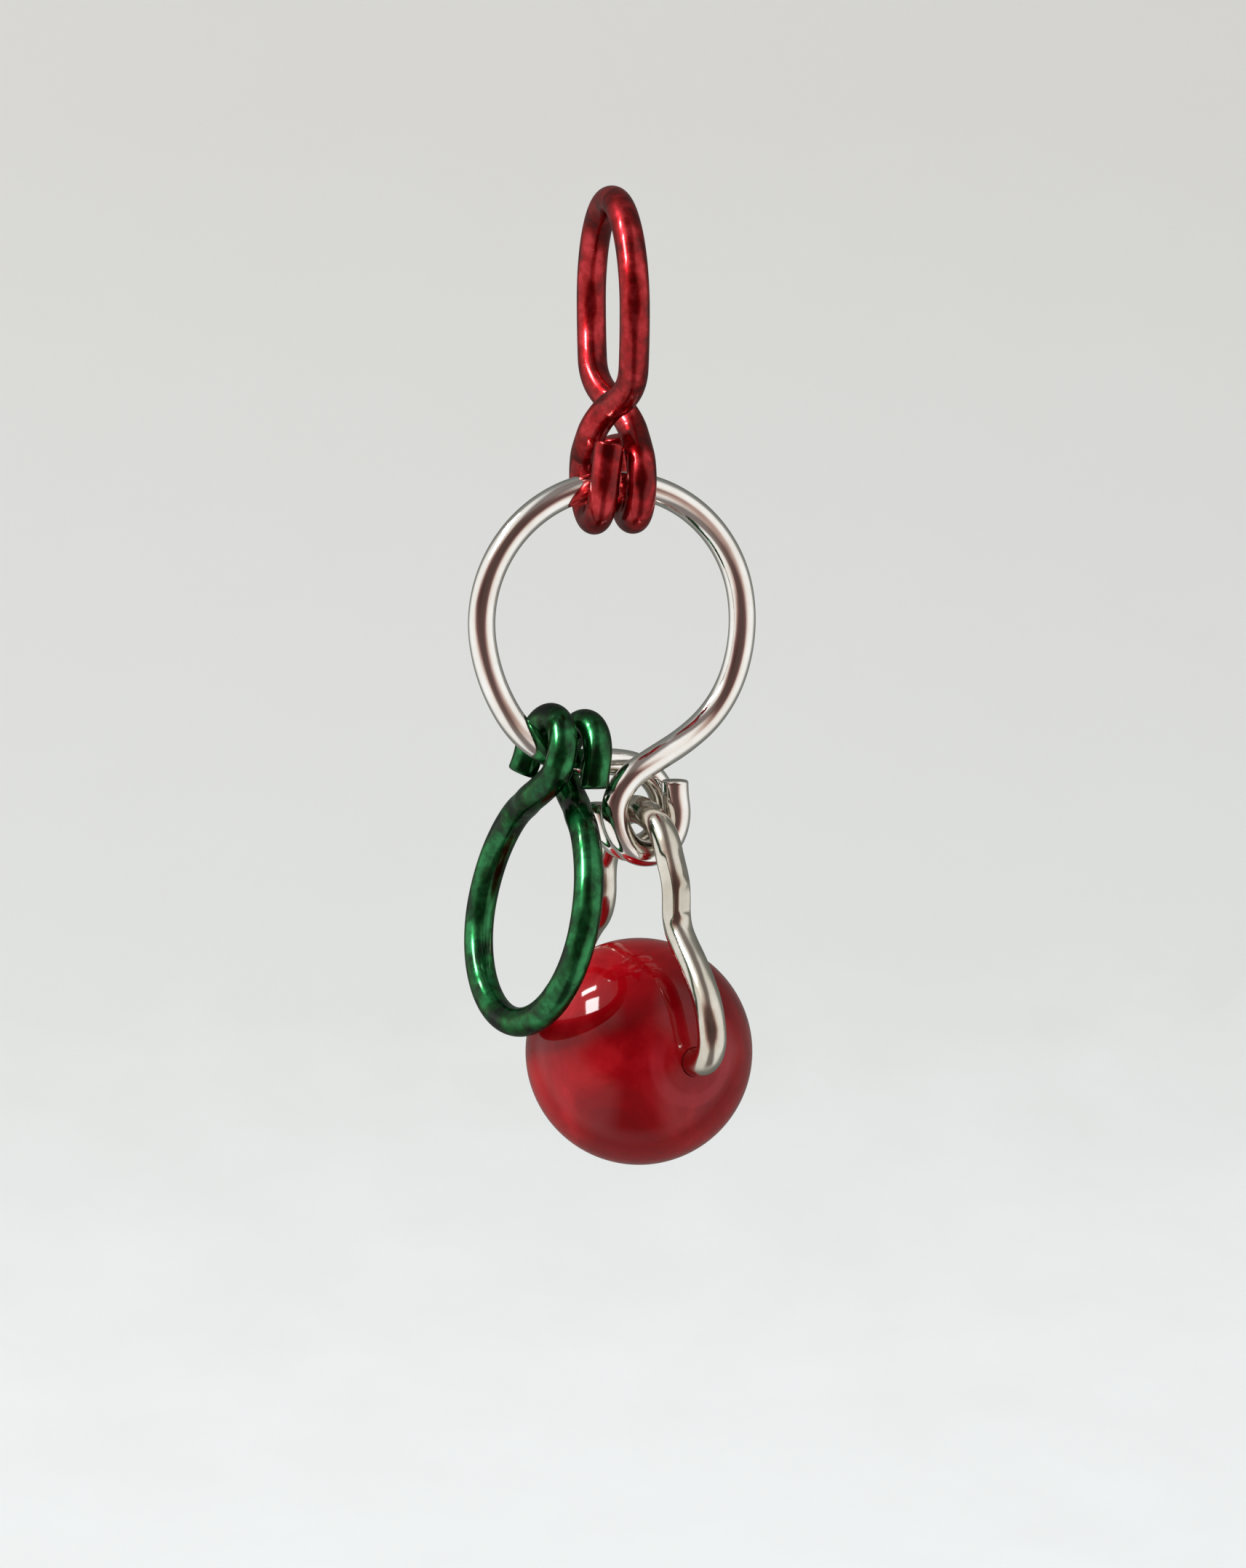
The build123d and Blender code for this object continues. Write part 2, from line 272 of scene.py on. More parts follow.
def closeEnd(bm, ring, edgeBreak):
    # the flush cut, with the sharp rim taken off
    cap = bmesh.ops.edgeloop_fill(bm, edges=ring)["faces"][0]
    cap.material_index = 1
    bmesh.ops.bevel(
        bm, geom=list(cap.edges), offset=edgeBreak, segments=wireFinish["endSegments"], profile=0.5,
        affect="EDGES", material=-1)


def measureRun(bm, sides):
    # the middle of each section and its distance along the wire
    sections = range(0, len(bm.verts), sides)
    centers = [sum((bm.verts[i + j].co for j in range(sides)), Vector()) / sides for i in sections]
    along = [0.0]
    for a, b in zip(centers, centers[1:]):
        along.append(along[-1] + (b - a).length)
    return centers, along


def pressFlat(bm, sides, centers, along, side, mark):
    # a plier's jaw leaves a short flat on the round wire, fading out at both of its ends
    begin, end, left, facing = mark
    facing = Vector((facing[0] * side, facing[1] * side, facing[2])).normalized()
    middle = along[-1] / 2
    for i, (center, reach) in enumerate(zip(centers, along)):
        inside = min((reach - middle) * side - begin, end - (reach - middle) * side)
        fade = min(max(inside / wireFinish["pressFade"], 0), 1)
        for vert in bm.verts[i * sides:(i + 1) * sides]:
            radius = (vert.co - center).length
            over = (vert.co - center).dot(facing) - radius * (1 - (1 - left) * fade)
            if fade and over > 0:
                vert.co -= facing * over


def layUV(bm, sides, centers, along):
    # u runs along the wire and v round it, both in millimetres
    uv = bm.loops.layers.uv.new("alongWire")
    around = math.tau * (bm.verts[0].co - centers[0]).length
    for face in bm.faces:
        columns = [corner.vert.index % sides for corner in face.loops]
        wraps = max(columns) - min(columns) > 1
        for corner, column in zip(face.loops, columns):
            column = sides if wraps and column == 0 else column
            corner[uv].uv = (along[corner.vert.index // sides], around * column / sides)


def makeWire(name, stations, place, diameter, materials, pressed=()):
    bm = bmesh.new()
    sides = wireFinish["sides"]
    start, heading = stations[0][0], stations[0][1].normalized()
    bmesh.ops.create_circle(
        bm, cap_ends=False, segments=sides, radius=diameter / 2,
        matrix=placed(start, Vector((1, 0, 0)), heading))
    ring = firstRing = list(bm.edges)
    for (a, leaving), (b, arriving) in zip(stations, stations[1:]):
        for run in arcPair(a, leaving.normalized(), b, arriving.normalized()):
            ring = bendTo(bm, ring, *run)
    bm.verts.index_update()
    bm.verts.ensure_lookup_table()
    centers, along = measureRun(bm, sides)
    layUV(bm, sides, centers, along)
    for mark in pressed:
        for side in (1, -1):
            pressFlat(bm, sides, centers, along, side, mark)
    for end in (firstRing, ring):
        closeEnd(bm, end, wireFinish["endBreak"])
    bmesh.ops.recalc_face_normals(bm, faces=bm.faces)
    bmesh.ops.transform(bm, matrix=Matrix.Scale(mm, 4) @ place, verts=bm.verts)
    print(name, "wire length in mm:", round(along[-1], 2))
    return toObject(name, bm, materials)


def toObject(name, bm, materials, smoothAngle=40):
    mesh = bpy.data.meshes.new(name)
    bm.to_mesh(mesh)
    bm.free()
    for material in materials:
        mesh.materials.append(material)
    for polygon in mesh.polygons:
        polygon.use_smooth = True
    mesh.set_sharp_from_angle(angle=math.radians(smoothAngle))
    piece = bpy.data.objects.new(name, mesh)
    bpy.context.scene.collection.objects.link(piece)
    return piece


def makeBead(place, materials):
    # half outline about the bore, spun round it
    radius, bore = bead["diameter"] / 2, bead["bore"] / 2
    mouth = bore + bead["boreBreak"]
    mouthDepth = math.sqrt(radius**2 - mouth**2)
    boreDepth = mouthDepth - bead["boreBreak"]
    tilt = math.asin(mouth / radius)
    bm = bmesh.new()
    first = bm.verts.new((0, mouthDepth, mouth))
    arc = bmesh.ops.spin(
        bm, geom=[first], cent=(0, 0, 0), axis=(1, 0, 0), angle=math.pi - 2 * tilt,
        steps=bead["outlineSteps"])["geom_last"]
    last = next(g for g in arc if isinstance(g, bmesh.types.BMVert))
    inner, outer = (bm.verts.new((0, depth, bore)) for depth in (-boreDepth, boreDepth))
    for ends in ((last, inner), (inner, outer), (outer, first)):
        bm.edges.new(ends)
    bmesh.ops.spin(
        bm, geom=list(bm.verts) + list(bm.edges), cent=(0, 0, 0), axis=(0, 1, 0),
        angle=math.tau, steps=bead["boreSteps"], use_merge=True)
    bmesh.ops.remove_doubles(bm, verts=bm.verts, dist=bead["merge"])
    bmesh.ops.recalc_face_normals(bm, faces=bm.faces)
    bmesh.ops.transform(bm, matrix=Matrix.Scale(mm, 4) @ place, verts=bm.verts)
    return toObject("redBead", bm, materials, smoothAngle=30)


# Materials

def fromHex(code):
    # sRGB hex to the linear values that shaders work in
    channels = [int(code[i:i + 2], 16) / 255 for i in (1, 3, 5)]
    linear = [c / 12.92 if c <= 0.04045 else ((c + 0.055) / 1.055) ** 2.4 for c in channels]
    return (*linear, 1)


def addNode(tree, kind, settings=None, links=None):
    # settings go to attributes or sockets, or to a ramp's stops; links give socket: (node, output)
    node = tree.nodes.new(kind)
    for key, value in (settings or {}).items():
        if key == "stops":
            elements = node.color_ramp.elements
            while len(elements) < len(value):
                elements.new(1)
            for element, (position, colour) in zip(elements, value):
                element.position, element.color = position, fromHex(colour)
        elif isinstance(key, str) and hasattr(node, key):
            setattr(node, key, value)
        else:
            node.inputs[key].default_value = value
    for key, (source, output) in (links or {}).items():
        tree.links.new(source.outputs[output], node.inputs[key])
    return node


def newMaterial(name):
    material = bpy.data.materials.new(name)
    material.use_nodes = True
    material.node_tree.nodes.clear()
    return material, material.node_tree


# Sizes of the marks in millimetres. The drawing die's lines are coarser than the real ones, so that they
# show. roughSpread is how far the roughness varies
enamelMarks = {
    "cloud": 0.8, "ripple": 0.9, "rippleDepth": 0.03, "roughSpread": (0.8, 1.4),
    "dieStretch": (0.35, 9, 1), "dieLinesPerMm": 1.6, "dieDepth": 0.02,
}
plateMarks = {
    "tarnish": 1.6, "dent": 1.1, "dentDepth": 0.08, "roughSpread": (0.7, 1.5),
    "dieStretch": (0.25, 10, 1), "dieLinesPerMm": 2.2, "dieDepth": 0.02,
}
shearMarks = {"spacing": 0.35, "depth": 0.02}


def enamelledWire(name, shades, edgeTint, rough):
    # Copper craft wire under a clear tinted enamel: the metal's own shine takes the tint,
    # and the smooth enamel skin adds a white highlight on top
    material, tree = newMaterial(name)
    marks = enamelMarks
    coords = addNode(tree, "ShaderNodeTexCoord")
    cloud = addNode(tree, "ShaderNodeTexNoise",
                    {"Scale": 1 / (marks["cloud"] * mm), "Detail": 4, "Roughness": 0.6},
                    {"Vector": (coords, "Object")})
    tint = addNode(tree, "ShaderNodeValToRGB", {"stops": shades}, {"Fac": (cloud, "Fac")})
    stretch = addNode(tree, "ShaderNodeMapping", {"Scale": marks["dieStretch"]}, {"Vector": (coords, "UV")})
    dieLines = addNode(tree, "ShaderNodeTexNoise", {"Scale": marks["dieLinesPerMm"], "Detail": 3},
                       {"Vector": (stretch, "Vector")})
    ripple = addNode(tree, "ShaderNodeTexNoise", {"Scale": 1 / (marks["ripple"] * mm), "Detail": 2},
                     {"Vector": (coords, "Object")})
    lines = addNode(tree, "ShaderNodeBump", {"Strength": 0.10, "Distance": marks["dieDepth"] * mm},
                    {"Height": (dieLines, "Fac")})
    skin = addNode(tree, "ShaderNodeBump", {"Strength": 0.35, "Distance": marks["rippleDepth"] * mm},
                   {"Height": (ripple, "Fac"), "Normal": (lines, "Normal")})
    smoothest, roughest = marks["roughSpread"]
    spread = addNode(tree, "ShaderNodeMapRange", {"To Min": rough * smoothest, "To Max": rough * roughest},
                     {"Value": (cloud, "Fac")})
    surface = addNode(tree, "ShaderNodeBsdfPrincipled", {
        "Metallic": 0.9, "Specular Tint": fromHex(edgeTint),
        "Coat Weight": 0.45, "Coat Roughness": 0.1, "Coat IOR": 1.5,
    }, {"Base Color": (tint, "Color"), "Roughness": (spread, "Result"), "Normal": (skin, "Normal")})
    addNode(tree, "ShaderNodeOutputMaterial", links={"Surface": (surface, "BSDF")})
    return material


def platedWire(name, shades, rough, dented):
    # Silver plate over drawn wire: mirror bright, with faint lines of the drawing die,
    # shallow handling dents and a little warm tarnish in patches
    material, tree = newMaterial(name)
    marks = plateMarks
    coords = addNode(tree, "ShaderNodeTexCoord")
    cloud = addNode(tree, "ShaderNodeTexNoise",
                    {"Scale": 1 / (marks["tarnish"] * mm), "Detail": 5, "Roughness": 0.6},
                    {"Vector": (coords, "Object")})
    tone = addNode(tree, "ShaderNodeValToRGB", {"stops": shades}, {"Fac": (cloud, "Fac")})
    stretch = addNode(tree, "ShaderNodeMapping", {"Scale": marks["dieStretch"]}, {"Vector": (coords, "UV")})
    dieLines = addNode(tree, "ShaderNodeTexNoise", {"Scale": marks["dieLinesPerMm"], "Detail": 4},
                       {"Vector": (stretch, "Vector")})
    dents = addNode(tree, "ShaderNodeTexNoise", {"Scale": 1 / (marks["dent"] * mm), "Detail": 1},
                    {"Vector": (coords, "Object")})
    lines = addNode(tree, "ShaderNodeBump", {"Strength": 0.12, "Distance": marks["dieDepth"] * mm},
                    {"Height": (dieLines, "Fac")})
    skin = addNode(tree, "ShaderNodeBump", {"Strength": dented, "Distance": marks["dentDepth"] * mm},
                   {"Height": (dents, "Fac"), "Normal": (lines, "Normal")})
    smoothest, roughest = marks["roughSpread"]
    spread = addNode(tree, "ShaderNodeMapRange", {"To Min": rough * smoothest, "To Max": rough * roughest},
                     {"Value": (dieLines, "Fac")})
    surface = addNode(
        tree, "ShaderNodeBsdfPrincipled", {"Metallic": 1.0},
        {"Base Color": (tone, "Color"), "Roughness": (spread, "Result"), "Normal": (skin, "Normal")})
    addNode(tree, "ShaderNodeOutputMaterial", links={"Surface": (surface, "BSDF")})
    return material


def shearedEnd(name, shades):
    # Where the cutters went through: duller than the wire's skin, with shear lines across it
    material, tree = newMaterial(name)
    coords = addNode(tree, "ShaderNodeTexCoord")
    shear = addNode(tree, "ShaderNodeTexWave",
                    {"Scale": 1 / (shearMarks["spacing"] * mm), "Distortion": 3.0, "Detail": 2},
                    {"Vector": (coords, "Object")})
    tone = addNode(tree, "ShaderNodeValToRGB", {"stops": shades}, {"Fac": (shear, "Fac")})
    bump = addNode(tree, "ShaderNodeBump", {"Strength": 0.4, "Distance": shearMarks["depth"] * mm},
                   {"Height": (shear, "Fac")})
    surface = addNode(tree, "ShaderNodeBsdfPrincipled", {"Metallic": 0.8, "Roughness": 0.42},
                      {"Base Color": (tone, "Color"), "Normal": (bump, "Normal")})
    addNode(tree, "ShaderNodeOutputMaterial", links={"Surface": (surface, "BSDF")})
    return material


def polishedGlass(center, axis, upward):
    # Pressed red glass, fire polished: deep even colour with cloudy swirls under a wet shine,
    # and a painted reflection: a paler ring painted into the colour below each mouth of the bore
    material, tree = newMaterial("pressedRedGlass")
    coords = addNode(tree, "ShaderNodeTexCoord")
    swirl = addNode(tree, "ShaderNodeTexNoise",
                    {"Scale": 1 / (bead["swirl"] * mm), "Detail": 8, "Roughness": 0.62, "Distortion": 0.8},
                    {"Vector": (coords, "Object")})
    tone = addNode(tree, "ShaderNodeValToRGB",
                   {"stops": [(0.34, "#760109"), (0.5, "#88030c"), (0.66, "#a0121a")]},
                   {"Fac": (swirl, "Fac")})
    # painted reflection: a paler ring round the bore, below each mouth, mixed into the glass colour
    offset = addNode(tree, "ShaderNodeVectorMath", {"operation": "SUBTRACT", 1: center},
                     {0: (coords, "Object")})
    across = addNode(tree, "ShaderNodeVectorMath", {"operation": "CROSS_PRODUCT", 1: axis},
                     {0: (offset, "Vector")})
    reach = addNode(tree, "ShaderNodeVectorMath", {"operation": "LENGTH"}, {0: (across, "Vector")})
    share = addNode(tree, "ShaderNodeMapRange",
                    {"From Min": bead["ringFrom"] * mm, "From Max": bead["ringTo"] * mm},
                    {"Value": (reach, "Value")})
    ring = addNode(tree, "ShaderNodeValToRGB", {
        "stops": [(0.12, "#000000"), (0.26, "#bcbcbc"), (0.58, "#bcbcbc"), (0.74, "#000000")],
    }, {"Fac": (share, "Result")})
    height = addNode(tree, "ShaderNodeVectorMath", {"operation": "DOT_PRODUCT", 1: upward},
                     {0: (offset, "Vector")})
    below = addNode(tree, "ShaderNodeMapRange", {
        "From Min": bead["fadeFrom"] * mm, "From Max": bead["fadeTo"] * mm, "To Min": 1, "To Max": 0,
    }, {"Value": (height, "Value")})
    paintedReflectionShare = addNode(tree, "ShaderNodeMath", {"operation": "MULTIPLY"},
                    {0: (ring, "Color"), 1: (below, "Result")})
    # ae2a34 is the colour of the painted reflection ring
    toneWithPaintedReflection = addNode(tree, "ShaderNodeMix", {"data_type": "RGBA", 7: fromHex("#ae2a34")},
                    {0: (paintedReflectionShare, "Value"), 6: (tone, "Color")})
    wave = addNode(tree, "ShaderNodeTexNoise", {"Scale": 1 / (bead["wave"] * mm), "Detail": 1},
                   {"Vector": (coords, "Object")})
    bump = addNode(tree, "ShaderNodeBump", {"Strength": 0.05, "Distance": bead["waveDepth"] * mm},
                   {"Height": (wave, "Fac")})
    surface = addNode(tree, "ShaderNodeBsdfPrincipled", {
        "Roughness": 0.06, "IOR": 1.5, "Specular IOR Level": 0.26, "Subsurface Weight": 0.2,
        "Subsurface Radius": (1.0, 0.12, 0.1), "Subsurface Scale": bead["scatter"] * mm,
    }, {"Base Color": (toneWithPaintedReflection, 2), "Normal": (bump, "Normal")})
    addNode(tree, "ShaderNodeOutputMaterial", links={"Surface": (surface, "BSDF")})
    return material


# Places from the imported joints
centerTop, centerAcross = jointPlace("center_swing")
sideSeat, sideSwingAxis = jointPlace("side_swing")
beadCenter, boreAxis = jointPlace("bead_turn")

topPlace = loopPlace(-up * loopHeight(topLoop), Vector((0, -1, 0)), up)
centerUp = tipped(up, centerAcross, -centerLoop["lean"])
ringCenter = centerTop - up * centerLoop["ringRadius"]
centerPlace = loopPlace(ringCenter - centerUp * loopHeight(centerLoop), centerAcross, centerUp)

# the side loop's coil is turned on its own line, so that it grips the ring square
sideLevel = Vector((sideSwingAxis.x, sideSwingAxis.y, 0)).normalized()
sideDown = tipped(-up, sideLevel, -sideLoop["lean"])
sideCoilCenter = sideSeat + sideDown * (sideLoop["longPlay"] - sideLoop["seatClearance"])
sidePlace = loopPlace(sideCoilCenter, direction(sideLoop["turn"] - 90), sideDown)
coilAxis = sideSwingAxis - sideDown * sideSwingAxis.dot(sideDown)
sideX = sidePlace.to_3x3().col[0]
sideLoop["coilTurn"] = math.degrees(math.atan2(sideX.cross(coilAxis).dot(sideDown), sideX.dot(coilAxis)))

beadSide = boreAxis.cross(up)
beadUp = beadSide.cross(boreAxis).normalized()
bailPlace = placed(beadCenter, beadSide, up)
beadPlace = placed(beadCenter, beadSide, beadUp)

redWire = enamelledWire(
    "redEnamelledCopper", [(0.36, "#6e0307"), (0.5, "#9c0c13"), (0.64, "#c02f36")], "#b8484c", 0.24)
greenWire = enamelledWire(
    "greenEnamelledCopper", [(0.36, "#042c12"), (0.5, "#0d5427"), (0.64, "#2a8048")], "#3f8f5c", 0.2)
silverWire = platedWire(
    "silverPlatedWire", [(0.3, "#e9e4dd"), (0.6, "#f6f4f0"), (0.8, "#fbfaf8")], 0.045, 0.08)
bailSilver = platedWire(
    "formedBailWire", [(0.3, "#c3bcad"), (0.6, "#dbd6ca"), (0.8, "#ece8de")], 0.13, 0.5)
redEnd = shearedEnd("shearedRedWire", [(0.2, "#5c0a0c"), (0.8, "#8c2424")])
greenEnd = shearedEnd("shearedGreenWire", [(0.2, "#0a2f18"), (0.8, "#25573a")])
silverEnd = shearedEnd("shearedSilverWire", [(0.2, "#8f8a82"), (0.8, "#c9c5bd")])
beadGlass = polishedGlass(beadCenter * mm, boreAxis, beadUp)
print("materials ready")

pieces = [
    (makeWire("topLoopWire", loopStations(topLoop), topPlace, topLoop["wire"], [redWire, redEnd]),
     "top", "top_loop", "red_wire"),
    (makeWire("centerLoopWire", loopStations(centerLoop), centerPlace, centerLoop["wire"],
              [silverWire, silverEnd]),
     "center", "center_loop", "silver_wire"),
    (makeWire("sideLoopWire", loopStations(sideLoop), sidePlace, sideLoop["wire"], [greenWire, greenEnd]),
     "side", "side_loop", "green_wire"),
    (makeWire("beadBailWire", bailStations(beadBail, bead["diameter"] / 2), bailPlace, beadBail["wire"],
              [bailSilver, silverEnd], beadBail["pressed"]),
     "bail", "bead_bail", "bail_wire"),
    (makeBead(beadPlace, [beadGlass]),
     "bead", "bead", "bead"),
]
for piece, body, node, slotName in pieces:
    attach(piece, body)
    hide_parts(node)
print("pieces made:", len(pieces))

# Studio: one pale sweep as floor and backdrop, a window's lamps, and the room that the metal mirrors.
# Its lengths are metres. The paper's glow turns from low to high between the floor and the height of highFrom:
# painted light, brighter at the floor and dimmer higher up
studio = {
    "floorBelow": 0.09, "halfWidth": 0.9, "front": -0.9, "back": 0.32, "height": 0.7,
    "bend": 0.2, "bendSteps": 24,
    "low": "#f1f5f5", "middle": "#dcdedc", "high": "#d2d1cd", "beyond": "#e3e6e5",
    "middleShare": 0.3, "highFrom": 0.0, "paper": "#e8e8e6", "mottle": 0.072, "mottleSize": 0.009,
    "glow": 0.8, "fill": "#f2f3f5", "fillStrength": 0.55,
}
# The room in reflections, from straight behind the marker round to where the viewer stands. The viewer's
# direction is right, up and towards the camera, and the viewer's column is given by how far it reaches
# to the sides and towards the camera
room = {
    "stops": [(0.0, "#757673"), (0.18, "#969793"), (0.30, "#f4f4f2"), (0.5, "#ffffff"), (0.72, "#f6f2ee"),
              (0.80, "#c6aca2"), (0.86, "#735553"), (1.0, "#38211f")],
    "viewer": (-0.10, -0.08, 0.99), "heightShare": 0.5,
    "column": "#5a4743", "columnSides": (0.2, 0.42), "columnDepth": (-0.2, 0.15), "columnShare": 0.85,
}
camera = {
    "azimuth": -12.2, "elevation": 8, "distance": 0.2, "target": Vector((0.3697, 0.0148, -16.75)) * mm,
    "pixelsPerMm": 39.3, "imageHeight": 2156, "sensor": 36, "clip": (0.01, 5),
}
# Each lamp: direction and width axis as right, up and towards the camera; size and distance in metres; watts
lamps = {
    "windowPane": {"toward": (-0.667, 0.614, 0.36), "across": (0.723, 0.466, 0.508),
                   "size": (0.086, 0.156), "distance": 0.4, "watts": 1.5},
    "windowTop": {"toward": (-0.63, 0.765, 0.021), "across": (0.709, 0.593, 0.382),
                  "size": (0.086, 0.035), "distance": 0.4, "watts": 0.34},
}


def cameraAxes():
    a, e = math.radians(camera["azimuth"]), math.radians(camera["elevation"])
    back = Vector((math.sin(a) * math.cos(e), -math.cos(a) * math.cos(e), math.sin(e)))
    right = Vector((math.cos(a), math.sin(a), 0))
    return right, back.cross(right), back


def roomColour(tree, source, output):
    # pale behind the marker, white walls at the sides, brown where the viewer stands, dim above and below
    right, upward, back = cameraAxes()
    x, y, z = room["viewer"]
    viewer = (right * x + upward * y + back * z).normalized()
    heading = addNode(tree, "ShaderNodeVectorMath", {"operation": "NORMALIZE"}, {0: (source, output)})
    toViewer = addNode(tree, "ShaderNodeVectorMath", {"operation": "DOT_PRODUCT", 1: viewer},
                       {0: (heading, "Vector")})
    rise = addNode(tree, "ShaderNodeVectorMath",
                   {"operation": "DOT_PRODUCT", 1: upward * room["heightShare"]}, {0: (heading, "Vector")})
    height = addNode(tree, "ShaderNodeMath", {"operation": "ABSOLUTE"}, {0: (rise, "Value")})
    near = addNode(tree, "ShaderNodeMath", {"operation": "SUBTRACT"},
                   {0: (toViewer, "Value"), 1: (height, "Value")})
    share = addNode(tree, "ShaderNodeMapRange", {"From Min": -1, "From Max": 1}, {"Value": (near, "Value")})
    walls = addNode(tree, "ShaderNodeValToRGB", {"stops": room["stops"]}, {"Fac": (share, "Result")})
    toRight = addNode(tree, "ShaderNodeVectorMath", {"operation": "DOT_PRODUCT", 1: right},
                      {0: (heading, "Vector")})
    side = addNode(tree, "ShaderNodeMath", {"operation": "ABSOLUTE"}, {0: (toRight, "Value")})
    full, gone = room["columnSides"]
    column = addNode(tree, "ShaderNodeMapRange",
                     {"From Min": full, "From Max": gone, "To Min": 1, "To Max": 0},
                     {"Value": (side, "Value")})
    toBack = addNode(tree, "ShaderNodeVectorMath", {"operation": "DOT_PRODUCT", 1: back},
                     {0: (heading, "Vector")})
    far, close = room["columnDepth"]
    before = addNode(tree, "ShaderNodeMapRange",
                     {"From Min": far, "From Max": close, "To Max": room["columnShare"]},
                     {"Value": (toBack, "Value")})
    dim = addNode(tree, "ShaderNodeMath", {"operation": "MULTIPLY"},
                  {0: (column, "Result"), 1: (before, "Result")})
    return addNode(tree, "ShaderNodeMix", {"data_type": "RGBA", 7: fromHex(room["column"])},
                   {0: (dim, "Value"), 6: (walls, "Color")})


def paperSweep():
    # Matt paper, faintly mottled: it glows a little for the camera and in reflections, and takes a shadow
    material, tree = newMaterial("paperSweep")
    coords = addNode(tree, "ShaderNodeTexCoord")
    place = addNode(tree, "ShaderNodeSeparateXYZ", links={"Vector": (coords, "Object")})
    # painted light: the glow is lighter at the floor and darker higher up, over a paper of one flat colour
    rise = addNode(tree, "ShaderNodeMapRange",
                   {"From Min": -studio["floorBelow"], "From Max": studio["highFrom"]},
                   {"Value": (place, "Z")})
    mottle = addNode(tree, "ShaderNodeTexNoise", {"Scale": 1 / studio["mottleSize"], "Detail": 4},
                     {"Vector": (coords, "Object")})
    shift = addNode(tree, "ShaderNodeMapRange", {"To Min": -studio["mottle"], "To Max": studio["mottle"]},
                    {"Value": (mottle, "Fac")})
    blend = addNode(tree, "ShaderNodeMath", {"operation": "ADD"}, {0: (rise, "Result"), 1: (shift, "Result")})
    colour = addNode(tree, "ShaderNodeValToRGB", {
        "stops": [(0, studio["low"]), (studio["middleShare"], studio["middle"]), (1, studio["high"])],
    }, {"Fac": (blend, "Value")})
    diffuse = addNode(tree, "ShaderNodeBsdfDiffuse", {"Color": fromHex(studio["paper"])})
    path = addNode(tree, "ShaderNodeLightPath")
    sight = addNode(tree, "ShaderNodeVectorMath", {"operation": "SUBTRACT", 1: camera["target"]},
                    {0: (coords, "Object")})
    mirrored = roomColour(tree, sight, "Vector")
    shown = addNode(tree, "ShaderNodeMix", {"data_type": "RGBA"},
                    {0: (path, "Is Glossy Ray"), 6: (colour, "Color"), 7: (mirrored, 2)})
    glow = addNode(tree, "ShaderNodeEmission", links={"Color": (shown, 2)})
    direct = addNode(tree, "ShaderNodeMath", {"operation": "MAXIMUM"},
                     {0: (path, "Is Camera Ray"), 1: (path, "Is Transmission Ray")})
    share = addNode(tree, "ShaderNodeMath", {"operation": "MULTIPLY", 1: studio["glow"]},
                    {0: (direct, "Value")})
    seen = addNode(tree, "ShaderNodeMath", {"operation": "MAXIMUM"},
                   {0: (share, "Value"), 1: (path, "Is Glossy Ray")})
    mix = addNode(tree, "ShaderNodeMixShader",
                  links={0: (seen, "Value"), 1: (diffuse, "BSDF"), 2: (glow, "Emission")})
    addNode(tree, "ShaderNodeOutputMaterial", links={"Surface": (mix, "Shader")})
    return material


def makeSweep():
    bm = bmesh.new()
    floor, bend = -studio["floorBelow"], studio["bend"]
    start = bm.verts.new((-studio["halfWidth"], studio["front"], floor))
    corner = bmesh.ops.extrude_vert_indiv(bm, verts=[start])["verts"][0]
    corner.co.y = studio["back"] - bend
    arc = bmesh.ops.spin(bm, geom=[corner], cent=(corner.co.x, corner.co.y, floor + bend), axis=(1, 0, 0),
                         angle=math.pi / 2, steps=studio["bendSteps"])["geom_last"]
    foot = next(g for g in arc if isinstance(g, bmesh.types.BMVert))
    top = bmesh.ops.extrude_vert_indiv(bm, verts=[foot])["verts"][0]
    top.co.z = studio["height"]
    grown = bmesh.ops.extrude_edge_only(bm, edges=list(bm.edges))["geom"]
    farSide = [g for g in grown if isinstance(g, bmesh.types.BMVert)]
    bmesh.ops.translate(bm, verts=farSide, vec=(2 * studio["halfWidth"], 0, 0))
    bmesh.ops.recalc_face_normals(bm, faces=bm.faces)
    toObject("paperSweep", bm, [paperSweep()])


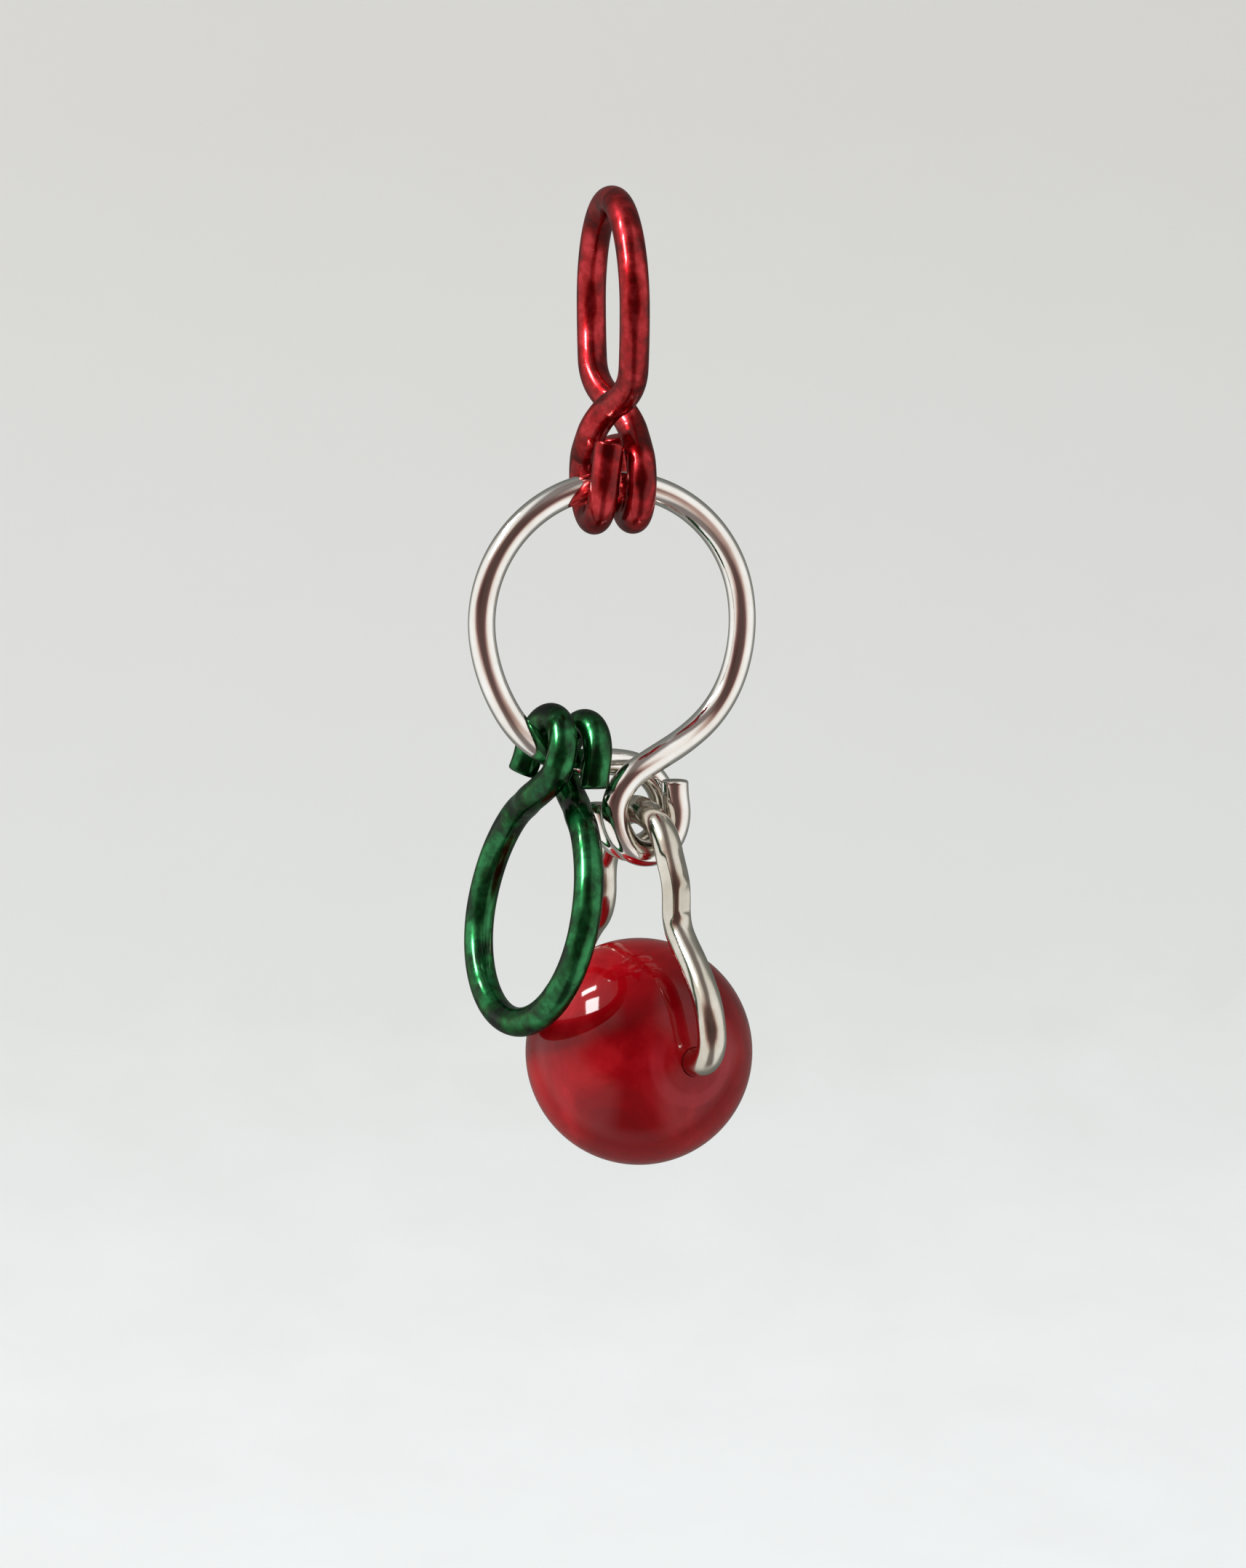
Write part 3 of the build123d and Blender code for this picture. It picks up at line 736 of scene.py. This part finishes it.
def makeWorld():
    world = bpy.data.worlds.new("studioRoom")
    bpy.context.scene.world = world
    world.use_nodes = True
    tree = world.node_tree
    tree.nodes.clear()
    coords = addNode(tree, "ShaderNodeTexCoord")
    mirror = addNode(tree, "ShaderNodeBackground", links={"Color": (roomColour(tree, coords, "Object"), 2)})
    fill = addNode(tree, "ShaderNodeBackground",
                   {"Color": fromHex(studio["fill"]), "Strength": studio["fillStrength"]})
    pale = addNode(tree, "ShaderNodeBackground", {"Color": fromHex(studio["beyond"])})
    path = addNode(tree, "ShaderNodeLightPath")
    mirrored = addNode(tree, "ShaderNodeMixShader",
                       links={0: (path, "Is Glossy Ray"), 1: (fill, "Background"), 2: (mirror, "Background")})
    seen = addNode(tree, "ShaderNodeMixShader",
                   links={0: (path, "Is Camera Ray"), 1: (mirrored, "Shader"), 2: (pale, "Background")})
    addNode(tree, "ShaderNodeOutputWorld", links={"Surface": (seen, "Shader")})


def makeCamera():
    data = bpy.data.cameras.new("camera")
    obj = bpy.data.objects.new("camera", data)
    bpy.context.scene.collection.objects.link(obj)
    back = cameraAxes()[2]
    obj.location = camera["target"] + back * camera["distance"]
    obj.rotation_mode = "QUATERNION"
    obj.rotation_quaternion = (-back).to_track_quat("-Z", "Y")
    focalPixels = camera["pixelsPerMm"] * camera["distance"] / mm
    data.sensor_width = camera["sensor"]
    data.lens = camera["sensor"] * focalPixels / camera["imageHeight"]
    data.clip_start, data.clip_end = camera["clip"]
    bpy.context.scene.camera = obj


def makeLamps():
    axes = Matrix(cameraAxes()).transposed()
    for name, lamp in lamps.items():
        data = bpy.data.lights.new(name, "AREA")
        data.shape = "RECTANGLE"
        data.size, data.size_y = lamp["size"]
        data.energy = lamp["watts"]
        obj = bpy.data.objects.new(name, data)
        bpy.context.scene.collection.objects.link(obj)
        toward = (axes @ Vector(lamp["toward"])).normalized()
        facing = placed(beadCenter, axes @ Vector(lamp["across"]), toward).to_3x3()
        obj.location = beadCenter * mm + toward * lamp["distance"]
        obj.rotation_mode = "QUATERNION"
        obj.rotation_quaternion = facing.to_quaternion()


makeSweep()
makeWorld()
makeCamera()
makeLamps()
bpy.context.scene.view_settings.view_transform = "Standard"
print("studio ready")
